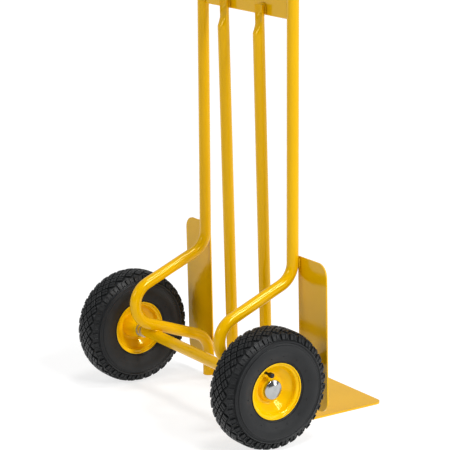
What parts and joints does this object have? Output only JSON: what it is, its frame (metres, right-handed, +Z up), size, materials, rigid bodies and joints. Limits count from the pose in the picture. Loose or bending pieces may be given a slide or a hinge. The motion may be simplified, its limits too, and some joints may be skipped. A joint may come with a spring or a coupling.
{
  "type": "hand truck",
  "caption": "Upright hand truck with bent tube side frames, toe plate, wheel guards, centre bars and pneumatic wheels on a through axle.",
  "frame": {"origin": "on the floor under the middle of the truck's bounding box", "axes": "+Z up, +Y forward the way the toe plate points, +X to the operator's right along the axle"},
  "size_m": [0.6334, 0.4972, 1.1657],
  "materials": {
    "yellow_paint": "glossy yellow powder coat",
    "rim_paint": "glossy yellow powder coat",
    "zinc_steel": "zinc plated",
    "bearing_steel": "ground",
    "chrome": "bright zinc or nickel plate",
    "tyre": "moulded black rubber",
    "tube_rubber": "matt black rubber",
    "grip_rubber": "ribbed black rubber",
    "nylon": "natural nylon",
    "black_plastic": "moulded black plastic"
  },
  "bodies": {
    "frame": {"axle_rod": "zinc_steel", "axle_tube": "yellow_paint", "centre_bar_left": "yellow_paint", "centre_bar_right": "yellow_paint", "cross_panel": "yellow_paint", "end_washer_left": "zinc_steel", "end_washer_right": "zinc_steel", "frame_tube_left": "yellow_paint", "frame_tube_right": "yellow_paint", "hand_grip_left": "grip_rubber", "hand_grip_right": "grip_rubber", "handle_tube_left": "yellow_paint", "handle_tube_right": "yellow_paint", "hub_cap_left": "chrome", "hub_cap_right": "chrome", "hub_washer_left": "zinc_steel", "hub_washer_right": "zinc_steel", "spacer_left": "yellow_paint", "spacer_right": "yellow_paint", "toe_plate": "yellow_paint", "tube_washer_left": "zinc_steel", "tube_washer_right": "zinc_steel", "wheel_guard_left": "yellow_paint", "wheel_guard_right": "yellow_paint"},
    "left_wheel": {"tyre_left": "tyre", "inner_tube_left": "tube_rubber", "rim_band_left": "tube_rubber", "rim_outer_left": "rim_paint", "rim_inner_left": "rim_paint", "hub_sleeve_left": "zinc_steel", "valve_stem_left": "tube_rubber", "valve_cap_left": "black_plastic"},
    "right_wheel": {"tyre_right": "tyre", "inner_tube_right": "tube_rubber", "rim_band_right": "tube_rubber", "rim_outer_right": "rim_paint", "rim_inner_right": "rim_paint", "hub_sleeve_right": "zinc_steel", "valve_stem_right": "tube_rubber", "valve_cap_right": "black_plastic"},
    "left_bearing": {"roller_cage_left": "nylon", "rollers_left": "bearing_steel"},
    "right_bearing": {"roller_cage_right": "nylon", "rollers_right": "bearing_steel"}
  },
  "joints": [
    {"name": "left_wheel_spin", "type": "hinge", "parent": "frame", "child": "left_wheel", "pos_m": [-0.2742, -0.1186, 0.13], "axis": [1, 0, 0], "continuous": true},
    {"name": "left_bearing_spin", "type": "hinge", "parent": "frame", "child": "left_bearing", "pos_m": [-0.2742, -0.1186, 0.13], "axis": [1, 0, 0], "continuous": true},
    {"name": "right_wheel_spin", "type": "hinge", "parent": "frame", "child": "right_wheel", "pos_m": [0.2742, -0.1186, 0.13], "axis": [1, 0, 0], "continuous": true},
    {"name": "right_bearing_spin", "type": "hinge", "parent": "frame", "child": "right_bearing", "pos_m": [0.2742, -0.1186, 0.13], "axis": [1, 0, 0], "continuous": true}
  ],
  "couplings": [
    {"joint": "left_bearing_spin", "follows": "left_wheel_spin", "ratio": 0.5837},
    {"joint": "right_bearing_spin", "follows": "right_wheel_spin", "ratio": 0.5837}
  ]
}
